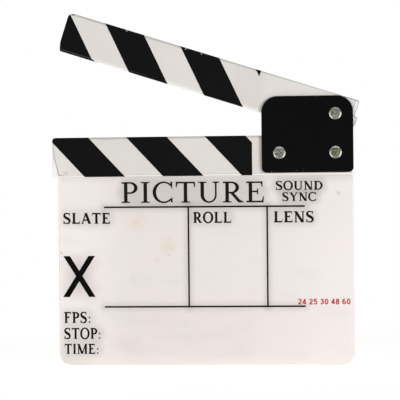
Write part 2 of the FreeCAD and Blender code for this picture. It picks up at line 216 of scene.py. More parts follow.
# Floor and surroundings: strengths of light, and the ramps between them
WHITE = (1.0, 1.0, 1.0, 1.0)
FLOOR_COLOUR = (0.8, 0.8, 0.8, 1.0)
FLOOR_REACH = 6000.0
FLOOR_LIFT = 0.7
FLOOR_FADE = (350.0, 900.0)
FLOOR_CAMERA_SIDE = (-900.0, -250.0)
NEAR_FLOOR_LIGHT = 0.5
FAR_FLOOR_LIGHT = 0.85
CAMERA_SIDE = 0.12
HORIZON_LIGHT = 0.5
ZENITH_LIGHT = 0.12
ZENITH_SHEEN = 0.2
SKY_LIGHT_RISE = (0.0, 0.8)
SKY_SHEEN_RISE = (0.3, 0.9)
SKY_CAMERA_SIDE = (-0.75, -0.3)
# Each lamp: its name, place, width and watts
LAMPS = [
    ("key", (1150, -1050, 120), 600, 18.0),
    ("fill", (-900, -1300, 350), 900, 6.0),
    ("rear", (-500, 1400, 300), 900, 9.0),
]
LAMP_AIM = (0, 0, 170)


class Wire:
    """One output socket of a finish. Arithmetic on wires adds Math nodes."""

    def __init__(self, finish, socket):
        self.finish = finish
        self.socket = socket

    def maths(self, operation, *values):
        return self.finish.add("ShaderNodeMath", {"operation": operation}, dict(enumerate(values)))

    def __add__(self, other):
        return self.maths("ADD", self, other)

    def __sub__(self, other):
        return self.maths("SUBTRACT", self, other)

    def __rsub__(self, other):
        return self.maths("SUBTRACT", other, self)

    def __mul__(self, other):
        return self.maths("MULTIPLY", self, other)

    def __truediv__(self, other):
        return self.maths("DIVIDE", self, other)

    def __pow__(self, other):
        return self.maths("POWER", self, other)

    def __abs__(self):
        return self.maths("ABSOLUTE", self)

    __radd__ = __add__
    __rmul__ = __mul__

    def least(self, other):
        return self.maths("MINIMUM", self, other)

    def most(self, other):
        return self.maths("MAXIMUM", self, other)

    def rising(self, low, high):
        """0 below low, 1 above high, and eased between them."""
        settings = {"interpolation_type": "SMOOTHSTEP"}
        return self.finish.add("ShaderNodeMapRange", settings, {0: self, 1: low, 2: high})

    def falling(self, low, high):
        """1 below low, 0 above high, and eased between them."""
        return 1 - self.rising(low, high)


def distance(right, rise):
    """The length of a step given by two wires."""
    return (right ** 2.0 + rise ** 2.0) ** 0.5


class Finish:
    """A node material. Its place wires are millimetres in the frame of the solids."""

    # How a shift moves a pattern along each axis, and the hard core and the step of a speck
    SHIFT_WAY = (1.0, 0.37, 0.71)
    SPECK_CORE = 0.6
    SPECK_STEP = 0.001

    def __init__(self, name):
        self.material = bpy.data.materials.new(name)
        self.material.use_nodes = True
        self.tree = self.material.node_tree
        self.shader = self.tree.nodes["Principled BSDF"]
        self.place = self.add("ShaderNodeTexCoord", out="Object")
        axes = self.add("ShaderNodeSeparateXYZ", {}, {0: self.place}).socket.node.outputs
        self.x, self.y, self.z = (Wire(self, socket) * PER_METRE for socket in axes)

    def add(self, kind, settings=None, values=None, out=0):
        """Adds a node: its settings first, then its sockets' values or links, and gives one output."""
        node = self.tree.nodes.new(kind)
        for name, value in (settings or {}).items():
            setattr(node, name, value)
        for name, value in (values or {}).items():
            self.feed(node.inputs[name], value)
        return Wire(self, node.outputs[out])

    def feed(self, socket, value):
        """Links a wire to a socket, or sets a plain value on it."""
        if isinstance(value, Wire):
            self.tree.links.new(value.socket, socket)
        else:
            socket.default_value = value

    def spread(self, size, stretch, shift):
        """Object coordinates in steps of size millimetres, stretched and shifted."""
        steps = [PER_METRE / (size * part) for part in stretch]
        values = {0: self.place, 1: steps, 2: [shift * part for part in self.SHIFT_WAY]}
        return self.add("ShaderNodeVectorMath", {"operation": "MULTIPLY_ADD"}, values)

    def clouds(self, size, detail=2.0, stretch=(1, 1, 1), shift=0.0):
        """Soft noise whose patches are about size millimetres across."""
        values = {"Vector": self.spread(size, stretch, shift), "Scale": 1.0, "Detail": detail}
        return self.add("ShaderNodeTexNoise", {}, values)

    def lines(self, across, detail):
        """Noise of one wire alone, which runs along the lines or rings where that wire is even."""
        values = {"W": across, "Scale": 1.0, "Detail": detail}
        return self.add("ShaderNodeTexNoise", {"noise_dimensions": "1D"}, values)

    def specks(self, size, radius, share, shift=0.0):
        """Round dots in a share of the cells of a scattered grid, radius in cell sizes."""
        vector = self.spread(size, (1, 1, 1), shift)
        cell = self.add("ShaderNodeTexVoronoi", {}, {"Vector": vector, "Scale": 1.0})
        chance = self.add("ShaderNodeSeparateColor", {}, {0: Wire(self, cell.socket.node.outputs[1])})
        chosen = chance.rising(1 - share, 1 + self.SPECK_STEP - share)
        return cell.falling(self.SPECK_CORE * radius, radius) * chosen

    def spot(self, x, z, radius):
        """1 at a place on the front, falling to 0 at a radius."""
        return distance(self.x - x, self.z - z).falling(0.0, radius)

    def spots(self, places):
        """The greatest of several spots."""
        return reduce(Wire.most, [self.spot(*place) for place in places])

    def field(self, left, right, low, high, soft):
        """1 inside a rectangle on the front, falling to 0 a soft length outside it."""
        aside = (left - self.x).most(self.x - right).most(0.0)
        above = (low - self.z).most(self.z - high).most(0.0)
        return distance(aside, above).falling(0.0, soft)

    def beside(self, x0, z0, x1, z1, near, far):
        """1 within a near distance of a straight line on the front, falling to 0 at a far one."""
        run_x, run_z = x1 - x0, z1 - z0
        squared = run_x ** 2 + run_z ** 2
        right, rise = self.x - x0, self.z - z0
        share = (right * (run_x / squared) + rise * (run_z / squared)).most(0.0).least(1.0)
        return distance(right - share * run_x, rise - share * run_z).falling(near, far)

    def mix(self, share, first, second):
        """A colour between two, each a wire or a colour."""
        settings = {"data_type": "RGBA"}
        return self.add("ShaderNodeMix", settings, {0: share, 6: first, 7: second}, 2)

    def tint(self, colour, share, *tone):
        """A colour with a share of a screen colour laid over it."""
        return self.mix(share, colour, paint(*tone))

    def bump(self, height, depth, strength):
        """Relief of a height wire, depth millimetres deep at height 1."""
        values = {"Strength": strength, "Distance": depth * MM, "Height": height}
        return self.add("ShaderNodeBump", {}, values)

    def surface(self, **sockets):
        """Sets the surface's sockets, named with underscores for spaces."""
        for name, value in sockets.items():
            self.feed(self.shader.inputs[name.replace("_", " ")], value)
        return self.material


def paint(red, green, blue):
    """A screen colour, 0 to 255, as the linear colour that shaders use."""
    parts = np.array([red, green, blue]) / 255.0
    linear = np.where(parts > 0.04045, ((parts + 0.055) / 1.055) ** 2.4, parts / 12.92)
    return (*linear, 1.0)


def stick_place(look, stick):
    """How far along a stick from its free end and up from its lower edge, as wires."""
    if stick == "lower":
        return look.x - stick_low[0], look.z - stick_low[2]
    right, rise = look.x - PIVOT_X, look.z - PIVOT_Z
    along = right * OPEN_COSINE - rise * OPEN_SINE + CLAPPER_TIP
    return along, right * OPEN_SINE + rise * OPEN_COSINE + CLAPPER_BELOW


def clapper_place(along, up):
    """The x and z of places along the upper stick from its free end and up from its lower edge."""
    right, rise = along - CLAPPER_TIP, up - CLAPPER_BELOW
    x = PIVOT_X + right * OPEN_COSINE + rise * OPEN_SINE
    return x, PIVOT_Z - right * OPEN_SINE + rise * OPEN_COSINE


def painted_legend_shade(look):
    """How far the sheet is darkened by painted shade: a painted shadow under the stick, and painted shade
    beside the legend, which keeps light out.
    """
    # painted shadow under the lower stick, deeper towards the right
    under = (stick_low[2] - look.z).falling(0.0, STICK_HALO_REACH)
    halo = under * (STICK_HALO + STICK_HALO_RIGHT * look.x.rising(60.0, 120.0))
    # painted shade beside the ruled lines, the cross and the letters
    for ends in RULES:
        halo = halo + look.beside(*ends, 0.0, RULE_HALO_REACH) * RULE_HALO
    for x0, z0, x1, z1 in CROSS_ARMS:
        in_x, in_z = CROSS_HALO_INSET * (x1 - x0), CROSS_HALO_INSET * (z1 - z0)
        ends = x0 + in_x, z0 + in_z, x1 - in_x, z1 - in_z
        halo = halo + look.beside(*ends, CROSS_HALO_NEAR, CROSS_HALO_REACH) * CROSS_HALO
    for lines, share in ((TITLE + SIDE_LINES, TITLE_HALO), (HEADINGS + ROW_LABELS, SMALL_HALO)):
        for _, left, right, base_left, base_right, cap in lines:
            half = cap / 2
            ends = left + half, base_left + half, right - half, base_right + half
            halo = halo + look.beside(*ends, LETTER_HALO_NEAR * half, half + LETTER_HALO_REACH) * share
    return halo


def opal_sheet():
    """Satin opal sheet: pinkish white, clouded, with painted shade round its legend and under the lower
    stick, painted light towards its sides and lower edge, stained and finely scratched.
    """
    look = Finish("opal_sheet")
    front = look.y.falling(BOARD_FACE + 0.1, BOARD_FACE + 1.5)
    from_left, from_right = look.x - board_low[0], board_high[0] - look.x
    colour = look.mix(look.clouds(70), paint(234, 226, 223), paint(239, 231, 228))
    # painted light: lighter towards the left side, less so near the top, and lighter towards the right side
    left_light = look.x.falling(-150.0, -60.0) * (1 - 0.5 * look.z.rising(120.0, 170.0))
    colour = look.tint(colour, left_light * 0.9, 251, 243, 240)
    right_light = look.x.rising(50.0, 150.0)
    colour = look.tint(colour, right_light * 0.5, 247, 239, 236)
    streaks = look.clouds(11, 3.0, stretch=(4, 1, 1), shift=13.0)
    title_grey = front * look.field(*TITLE_GREY)
    colour = look.tint(colour, title_grey * (0.1 + 0.15 * streaks), 204, 198, 194)
    # painted shade under the stick and beside the legend
    colour = look.tint(colour, (front * painted_legend_shade(look)).least(0.6), 150, 144, 141)
    wiped_off = front * look.field(*WIPED_OFF) * streaks.rising(0.25, 0.75)
    colour = look.tint(colour, wiped_off * 0.2, 208, 200, 197)

    # painted light towards the lower edge
    low_light = look.z.falling(0.0, 14.0)
    colour = look.tint(colour, low_light * 0.2, 250, 242, 237)
    yellowed = look.z.falling(0.0, 12.0) * look.clouds(30, shift=5.0).rising(0.3, 0.65)
    colour = look.tint(colour, yellowed * 0.5, 243, 234, 221)
    colour = look.tint(colour, look.spot(*DULL_CORNER) * 0.35, 214, 206, 201)
    # painted light along the side edges, strongest along the left
    side_edge = from_left.least(from_right).falling(0.0, 3.0)
    colour = look.tint(colour, side_edge * 0.5, 246, 238, 233)
    left_edge = from_left.falling(0.8, 2.2)
    colour = look.tint(colour, left_edge * 0.9, 254, 248, 244)
    low_edge = look.z.falling(0.2, 1.0)
    colour = look.tint(colour, low_edge * 0.15, 205, 200, 194)
    cut_edge = look.z.falling(0.4, 1.8) * look.x.rising(105.0, 125.0)
    colour = look.tint(colour, cut_edge * 0.5, 208, 207, 200)

    patchy = front * (0.4 + 0.6 * look.clouds(8, 3.0, shift=2.0).rising(0.3, 0.65))
    for x, z, radius, share, tone in MARKS:
        colour = look.tint(colour, look.spot(x, z, radius) * patchy * share, *tone)
    wiped = look.clouds(16, 4.0, stretch=(2.5, 1, 1), shift=9.0).rising(0.52, 0.75)
    colour = look.tint(colour, wiped * 0.18, 222, 214, 212)
    colour = look.tint(colour, look.specks(17, 0.03, 0.2, 3.0) * 0.45, 150, 138, 132)
    level = look.clouds(0.9, 1.0, stretch=(14, 1, 1), shift=1.0).rising(0.66, 0.74)
    upright = look.clouds(1.3, 1.0, stretch=(1, 1, 18), shift=4.0).rising(0.68, 0.76)
    scratches = level.most(upright)
    roughness = 0.34 + 0.1 * wiped + 0.16 * scratches
    relief = look.clouds(3.5) * 0.4 - scratches * 0.5
    return look.surface(Base_Color=colour, Roughness=roughness, Normal=look.bump(relief, 0.02, 0.5),
                        Specular_IOR_Level=0.35)


def tip_corner_shade(look, colour, along, up):
    """Painted shade on the upper corner of the upper stick's free end."""
    corner = along.falling(4.5, 7.5) * up.rising(STICK_HEIGHT - 2.6, STICK_HEIGHT - 1.2)
    return look.tint(colour, corner * 0.85, 70, 69, 67)


def sawn_acrylic(stick):
    """White acrylic bar: bright, with painted shade along its top edge and round the heel, painted light
    along its lower edge and at its free end, saw lines and handling grime.
    """
    look = Finish(stick + "_sawn_acrylic")
    along, up = stick_place(look, stick)
    film_top = STICK_HEIGHT - FILM_INSET
    front_edge = look.y.falling(CLAPPER_FRONT + 1.0, CLAPPER_FRONT + 2.5)
    grey_share = along.falling(150.0, 290.0)
    end_light = paint(250, 249, 245)
    if stick == "upper":
        grey_share = 0.6 + 0.4 * grey_share
    else:
        end_light = look.mix(up.rising(6.0, 22.0), paint(255, 254, 251), paint(226, 223, 218))
    colour = look.mix(look.clouds(24, 3.0), paint(236, 234, 228), paint(244, 242, 237))
    # painted shade along the top edge, which faces away from the light
    painted_top_shade = up.rising(film_top - 0.2, film_top + 0.2) * grey_share * (0.4 + 0.6 * front_edge)
    uneven = 0.7 + 0.3 * look.clouds(18, 3.0, shift=12.0)
    colour = look.tint(colour, painted_top_shade * uneven, 184, 183, 176)
    # painted highlight along the lower edge
    low_edge = up.falling(0.1, 0.6)
    colour = look.tint(colour, low_edge * 0.8, 252, 251, 249)
    # painted light at the free end, on the lower stick brighter at the bottom than at the top
    free_end = along.falling(1.0, 12.0)
    colour = look.mix(free_end * 0.8, colour, end_light)
    if stick == "upper":
        # painted shade on the tip's upper corner
        colour = tip_corner_shade(look, colour, along, up)
        # painted shade along the heel's top edge and at its end
        top_edge = up.rising(STICK_HEIGHT - 1.4, STICK_HEIGHT - 0.6) * along.rising(262.0, 282.0)
        colour = look.tint(colour, top_edge * front_edge * 0.75, 150, 148, 143)
        heel_edge = along.rising(HEEL_END - 1.3, HEEL_END - 0.3)
        colour = look.tint(colour, heel_edge * front_edge * 0.8, 170, 168, 164)
    handled = look.clouds(6, 4.0, shift=3.0).rising(0.5, 0.72)
    colour = look.tint(colour, handled * 0.2, 220, 215, 208)
    saw = look.clouds(0.7, 1.0, stretch=(1, 12, 12), shift=6.0)
    return look.surface(Base_Color=colour, Roughness=0.36 + 0.2 * saw, Specular_IOR_Level=0.35,
                        Normal=look.bump(saw, 0.03, 0.45))


def trim_inset(rise):
    """How far the lower film's free end is cut back: a power of the way down its last stretch."""
    return TRIM_WIDTH * np.clip((TRIM_TOP - rise) / TRIM_HEIGHT, 0.0, 1.0) ** TRIM_POWER


def trimmed_end(look, colour, along, up):
    """The lower film's free end: lighter, with grime and painted shadow in a dark line along its trim, a
    painted shadow under its lifted corner, and some rust.
    """
    down = ((TRIM_TOP - up) / TRIM_HEIGHT).most(0.0).least(1.0)
    inward = along - (film_low[0] - stick_low[0]) - TRIM_WIDTH * down ** TRIM_POWER
    lighter = inward.falling(2.0, 30.0)
    colour = look.tint(colour, lighter * 0.55, 236, 232, 227)
    # grime and painted shadow along the trimmed edge
    line = inward.falling(0.2, 0.7 + 0.7 * down)
    colour = look.tint(colour, line * (0.4 + 0.3 * down), 112, 105, 98)
    # painted shadow under the lifted corner
    lifted_corner_shadow = (up - FILM_INSET).falling(0.5, 1.0) * inward.falling(3.5, 6.0)
    colour = look.tint(colour, lifted_corner_shadow * 0.45, 88, 82, 77)
    rust = look.spot(*FILM_RUST) * look.clouds(1.8, 3.0, shift=7.0).rising(0.25, 0.55)
    return look.tint(colour, rust * 0.6, 200, 182, 174)


def facing_film(stick):
    """Satin facing film: grey white, patched pink and green, smudged, with grime along its edges, painted
    shade along its top edge, painted light along the upper film's lower edge, and a painted shadow beside
    the plate.
    """
    look = Finish(stick + "_facing_film")
    along, up = stick_place(look, stick)
    low, high = up - FILM_INSET, STICK_HEIGHT - FILM_INSET - up
    patches = look.clouds(38).rising(0.35, 0.65)
    colour = look.mix(patches, paint(221, 218, 213), paint(224, 218, 214))
    dull = look.clouds(15, 3.0, shift=8.0).rising(0.5, 0.8)
    colour = look.tint(colour, dull * 0.35, 215, 211, 206)
    grime = look.clouds(7, 3.0, stretch=(2, 1, 2), shift=1.0).rising(0.35, 0.7)
    # grime and painted shade along the top edge
    grime_and_top_shade = high.falling(0.0, 1.4) * (0.5 + 0.5 * grime)
    if stick == "upper":
        grime_and_top_shade = grime_and_top_shade * along.falling(90.0, 240.0)
    colour = look.tint(colour, grime_and_top_shade * 0.8, 176, 173, 167)
    if stick == "upper":
        # painted light along the lower edge
        colour = look.tint(colour, low.falling(0.0, 3.0) * 0.5, 238, 236, 232)
        # painted shade on the tip's upper corner
        colour = tip_corner_shade(look, colour, along, up)
        # painted shadow of the hinge plate
        plate_shadow = along.rising(165.0, 178.0) * along.falling(199.0, 212.0)
        colour = look.tint(colour, plate_shadow * 0.45, 211, 203, 198)
        heel_line = along.rising(HEEL_END - 4.4, HEEL_END - 3.8)
        colour = look.tint(colour, heel_line * 0.6, 178, 175, 170)
        heel_light = along.rising(HEEL_END - 3.6, HEEL_END - 3.0)
        colour = look.tint(colour, heel_light * 0.7, 250, 248, 245)
    else:
        colour = look.tint(colour, low.falling(0.2, 0.9) * 0.55, 176, 171, 165)
        # painted shadow of the hinge plate
        plate_shadow = look.x.rising(plate_low[0] - 26.0, plate_low[0])
        colour = look.tint(colour, plate_shadow * 0.15, 204, 199, 194)
    smear = look.clouds(5, 3.0, stretch=(5, 1, 1), shift=11.0).rising(0.6, 0.78)
    colour = look.tint(colour, smear * 0.18, 196, 190, 184)
    if stick == "lower":
        colour = trimmed_end(look, colour, along, up)
    grain = look.clouds(0.8)
    return look.surface(Base_Color=colour, Roughness=0.42 + 0.12 * smear, Specular_IOR_Level=0.3,
                        Normal=look.bump(grain, 0.012, 0.5))


def black_vinyl(stick):
    """Black vinyl band: satin, faintly scuffed, nicked on the upper stick's top edge, and with a painted
    highlight and rubbed wear along its lower edge.
    """
    look = Finish(stick + "_black_vinyl")
    colour = look.mix(look.clouds(11, 4.0), paint(9, 9, 9), paint(13, 12, 12))
    scuffs = look.clouds(2.2, 3.0, stretch=(9, 1, 1), shift=2.0).rising(0.64, 0.82)
    colour = look.tint(colour, scuffs * 0.2, 48, 47, 46)
    relief = look.clouds(1.1) * 0.3 - 0.3 * scuffs
    if stick == "upper":
        along, up = stick_place(look, stick)
        front_edge = look.y.falling(CLAPPER_FRONT + 0.75, CLAPPER_FRONT + 1.35)
        # painted highlight and rubbed wear along the rounded lower edge
        rubbed = up.rising(0.7, 1.1) * up.falling(1.5, 2.1) * front_edge * along.falling(40.0, 110.0)
        colour = look.tint(colour, rubbed * 0.9, 66, 65, 64)
        nicks = look.spots(BAND_NICKS).rising(0.3, 0.5)
        colour = look.tint(colour, nicks * 0.7, 206, 203, 198)
        relief = relief - nicks
    return look.surface(Base_Color=colour, Roughness=0.75 + 0.1 * scuffs, Specular_IOR_Level=0.1,
                        Normal=look.bump(relief, 0.02, 0.4))


def inside_plate(look):
    """How far inside the plate's outline a place is: a rectangle with one radius above and one below."""
    middle, half = (plate_low + plate_high) / 2, (plate_high - plate_low) / 2
    upper_half = look.z.rising(middle[2] - 0.01, middle[2] + 0.01)
    radius = PLATE_BOTTOM_RADIUS + (PLATE_TOP_RADIUS - PLATE_BOTTOM_RADIUS) * upper_half
    out_x = abs(look.x - middle[0]) - half[0] + radius
    out_z = abs(look.z - middle[2]) - half[2] + radius
    return radius - distance(out_x.most(0.0), out_z.most(0.0)) - out_x.most(out_z).least(0.0)


def plate_paint():
    """Satin black paint, chipped to bare metal at the plates' edges and speckled with dust."""
    look = Finish("plate_paint")
    colour = look.mix(look.clouds(14, 3.0), paint(3, 3, 3), paint(6, 5, 5))
    rim = inside_plate(look).falling(0.1, 1.4)
    chips = look.spots(PLATE_CHIPS).rising(0.3, 0.5) * 0.6
    chips = chips.most(rim * look.clouds(2.3, shift=3.0).rising(0.7, 0.73))
    rubbed = rim * look.clouds(6.0, 3.0, shift=8.0).rising(0.45, 0.75)
    colour = look.tint(colour, rubbed * 0.2, 62, 60, 59)
    dust = look.specks(3.1, 0.05, 0.1, 5.0) + look.specks(7.3, 0.035, 0.25, 1.0)
    colour = look.tint(colour, dust * 0.35, 150, 148, 146)
    colour = look.tint(colour, chips, 196, 194, 190)
    wear = look.clouds(1.0, stretch=(10, 1, 1), shift=4.0).rising(0.62, 0.8)
    relief = look.clouds(0.7) * 0.35 - chips
    return look.surface(Base_Color=colour, Metallic=chips, Roughness=0.25 + 0.05 * wear - 0.05 * rubbed,
                        Specular_IOR_Level=0.25, Normal=look.bump(relief, 0.02, 0.4))


def turned_metal(name, centre, tone, turn, crest=0.0):
    """Bright turned metal about an axis along y: rings from the tool, crossed by fine rubbed lines,
    a darker rim with polish and painted highlights low on each side, and a share of matt painted highlight
    on its crest."""
    look = Finish(name)
    right, rise = look.x - centre[0], look.z - centre[1]
    away = distance(right, rise)
    rings = look.lines(away * TOOL_RINGS, 2.0)
    rubbed = look.lines((right * math.cos(turn) + rise * math.sin(turn)) * RUBBED_LINES, 3.0)
    blotch = look.clouds(1.6, 3.0, shift=centre[0])
    dark, light = (paint(*(part * share for part in tone)) for share in (0.3, 1.1))
    worn = (0.2 * rings + rubbed + 0.9 * blotch).rising(0.82, 1.22)
    colour = look.mix(worn, dark, light)
    # a darker rim, with painted highlights low on each side and on the crest; the low ones also stand for
    # polish
    rim = away.rising(HEAD_RADIUS - 1.7, HEAD_RADIUS - 1.2)
    low_sides = abs(right).rising(1.8, 4.2) * rise.falling(-0.5, 2.5)
    crest_highlight = rim * rise.rising(3.2, 4.8)
    polish_and_highlight = (rim * low_sides).most(crest_highlight)
    colour = look.tint(colour, rim, 150, 148, 141)
    colour = look.tint(colour, polish_and_highlight, 250, 249, 245)
    roughness = 0.3 + 0.12 * rubbed - 0.18 * polish_and_highlight
    metallic = 1 - crest * crest_highlight if crest else 1.0
    return look.surface(Base_Color=colour, Metallic=metallic, Roughness=roughness,
                        Normal=look.bump(rings + 0.6 * rubbed, 0.012, 0.6))


def natural_nylon():
    """Natural nylon: warm white, slightly waxy, with fine tool marks."""
    look = Finish("natural_nylon")
    colour = look.mix(look.clouds(4, 3.0), paint(226, 222, 211), paint(236, 233, 224))
    marks = look.clouds(0.5, stretch=(1, 6, 1))
    return look.surface(Base_Color=colour, Roughness=0.4 + 0.2 * marks, Normal=look.bump(marks, 0.01, 0.4))


def legend_ink(name, dark, light, worn_to):
    """Printed legend: an uneven ink colour, rubbed thin in small flecks."""
    look = Finish(name)
    colour = look.mix(look.clouds(6, 3.0), paint(*dark), paint(*light))
    flecks = look.clouds(0.9, shift=3.0).rising(0.68, 0.76)
    colour = look.tint(colour, flecks * 0.5, *worn_to)
    return look.surface(Base_Color=colour, Roughness=0.55 + 0.2 * flecks, Specular_IOR_Level=0.06)


def linked(name, data):
    """A new object in the scene that holds a mesh, a lamp or a camera."""
    holder = bpy.data.objects.new(name, data)
    bpy.context.scene.collection.objects.link(holder)
    return holder


def dress(piece, material):
    """Puts one material on a piece or on every slot of a solid."""
    if not piece.data.materials:
        piece.data.materials.append(material)
    for slot in piece.material_slots:
        slot.material = material


def outward(points, faces):
    """The faces of a closed shell, turned round where its signed volume is negative."""
    first, second, third, fourth = (points[faces[:, corner]] for corner in range(4))
    halves = np.cross(first, second) * third + np.cross(first, third) * fourth
    return faces if halves.sum() > 0 else faces[:, ::-1]


def make_piece(name, shells, material, body):
    """One mesh piece from closed shells of points in millimetres and four-sided faces."""
    points = np.concatenate([shell[0] for shell in shells])
    starts = np.cumsum([0] + [len(shell[0]) for shell in shells[:-1]])
    faces = np.concatenate([outward(*shell) + start for shell, start in zip(shells, starts)])
    mesh = bpy.data.meshes.new(name)
    mesh.from_pydata((points * MM).tolist(), [], faces.tolist())
    mesh.update()
    piece = linked(name, mesh)
    dress(piece, material)
    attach(piece, body)
    return piece


def grid_faces(rows, columns, ring_rows=False, ring_columns=False):
    """Four-sided faces of a rows by columns grid of points, joined round where it is a ring."""
    starts = np.arange(rows - (not ring_rows)), np.arange(columns - (not ring_columns))
    row, column = np.meshgrid(*starts, indexing="ij")
    below, after = (row + 1) % rows, (column + 1) % columns
    turns = [(row, column), (row, after), (below, after), (below, column)]
    return np.stack([(down * columns + across).ravel() for down, across in turns], axis=1)


# Strokes of the legend: each is its two edges, as points across and up in cap heights, and whether it
# is a ring. The sizes are in cap heights too.
SERIF = 0.05
BRACKET = 0.07
SERIF_POINTS = 9
CURVE_STEPS = 28
SWASH_STEPS = 6
BEAK_ROOT = 0.1
BEAK_TIP = 0.035
DOT_POINTS = 11
DOT_REACH = 0.999
LETTER_SPACE = 0.07


def edges(path, widths, ring=False):
    """The two edges of a stroke: half its width to each side of its middle line, square to it."""
    run = np.roll(path, -1, 0) - np.roll(path, 1, 0) if ring else np.gradient(path, axis=0)
    run /= np.linalg.norm(run, axis=1, keepdims=True)
    aside = np.stack([-run[:, 1], run[:, 0]], 1) * np.asarray(widths)[:, None] / 2
    return path + aside, path - aside, ring


def straight(x0, z0, x1, z1, wide, wide_end=None):
    """A straight stroke whose width changes evenly from one end to the other."""
    return edges(np.array([[x0, z0], [x1, z1]], float), [wide, wide if wide_end is None else wide_end])


def slanted(x0, z0, x1, z1, wide):
    """A slanted stroke cut level at both ends: its width is measured level."""
    path = np.array([[x0, z0], [x1, z1]], float)
    aside = np.array([wide / 2, 0.0])
    return path - aside, path + aside, False


def bowl(x, z, reach, rise, start, stop, left, right, thin):
    """Part of an ellipse about a point: thin at top and bottom, swelling by the square of the
    cosine to its left and right widths."""
    ring = stop - start >= 360
    angle = np.radians(np.linspace(start, stop, CURVE_STEPS + ring))[: CURVE_STEPS]
    path = np.stack([x + reach * np.cos(angle), z + rise * np.sin(angle)], 1)
    swell = np.where(np.cos(angle) < 0, left - thin, right - thin)
    return edges(path, thin + swell * np.cos(angle) ** 2, ring)


def swash(points, widths):
    """A smooth stroke through points: a Catmull-Rom curve, and widths carried along it the same way."""
    knots = np.column_stack([np.array(points, float), widths])
    knots = np.vstack([2 * knots[0] - knots[1], knots, 2 * knots[-1] - knots[-2]])
    before, start, stop, after = knots[:-3, None], knots[1:-2, None], knots[2:-1, None], knots[3:, None]
    t = np.linspace(0, 1, SWASH_STEPS + 1)[:-1, None]
    line = start + 0.5 * t * (stop - before + t * (2 * before - 5 * start + 4 * stop - after
                                                   + t * (3 * (start - stop) + after - before)))
    line = np.vstack([line.reshape(-1, 3), knots[-2]])
    return edges(line[:, :2], line[:, 2])


def serif(x, z, reach, up):
    """A foot on the base line, or a head on the cap line: a thin slab that thickens, by the square
    of the nearness, to the stem it meets."""
    share = np.linspace(-1, 1, SERIF_POINTS)
    outer = np.stack([x + reach * share, np.full(SERIF_POINTS, float(z))], 1)
    thick = up * (SERIF + BRACKET * (1 - abs(share)) ** 2)
    return outer, outer + np.stack([np.zeros(SERIF_POINTS), thick], 1), False


def foot(x, reach):
    return serif(x, 0, reach, 1)


def head(x, reach):
    return serif(x, 1, reach, -1)


def beak(x, z, lean, drop):
    """The tapered end of an arm, from its line down or up to a blunt point."""
    return straight(x, z, x + lean, z + drop, BEAK_ROOT, BEAK_TIP)


def dot(x, z, radius):
    """A round dot: upright chords of a circle from its left to its right."""
    across = np.linspace(-DOT_REACH, DOT_REACH, DOT_POINTS)
    half = np.sqrt(1 - across ** 2) * radius
    upper = np.stack([x + radius * across, z + half], 1)
    return upper, upper - np.stack([np.zeros(DOT_POINTS), 2 * half], 1), False


# The middle line of the letter S, and its widths in stems from either end to its middle
S_LINE = [
    (0.64, 0.80), (0.57, 0.93), (0.39, 0.965), (0.21, 0.90), (0.14, 0.755), (0.23, 0.61), (0.41, 0.51),
    (0.59, 0.41), (0.665, 0.25), (0.58, 0.09), (0.38, 0.035), (0.19, 0.08), (0.11, 0.22),
]
S_SWELL = [0.34, 0.4, 0.47, 0.67, 0.9, 1.03, 1.07]
# Level widths of slanted strokes, in stems or hairlines
LEANING = 1.13
LEANING_FINE = 1.07
LEANING_FAR = 1.2


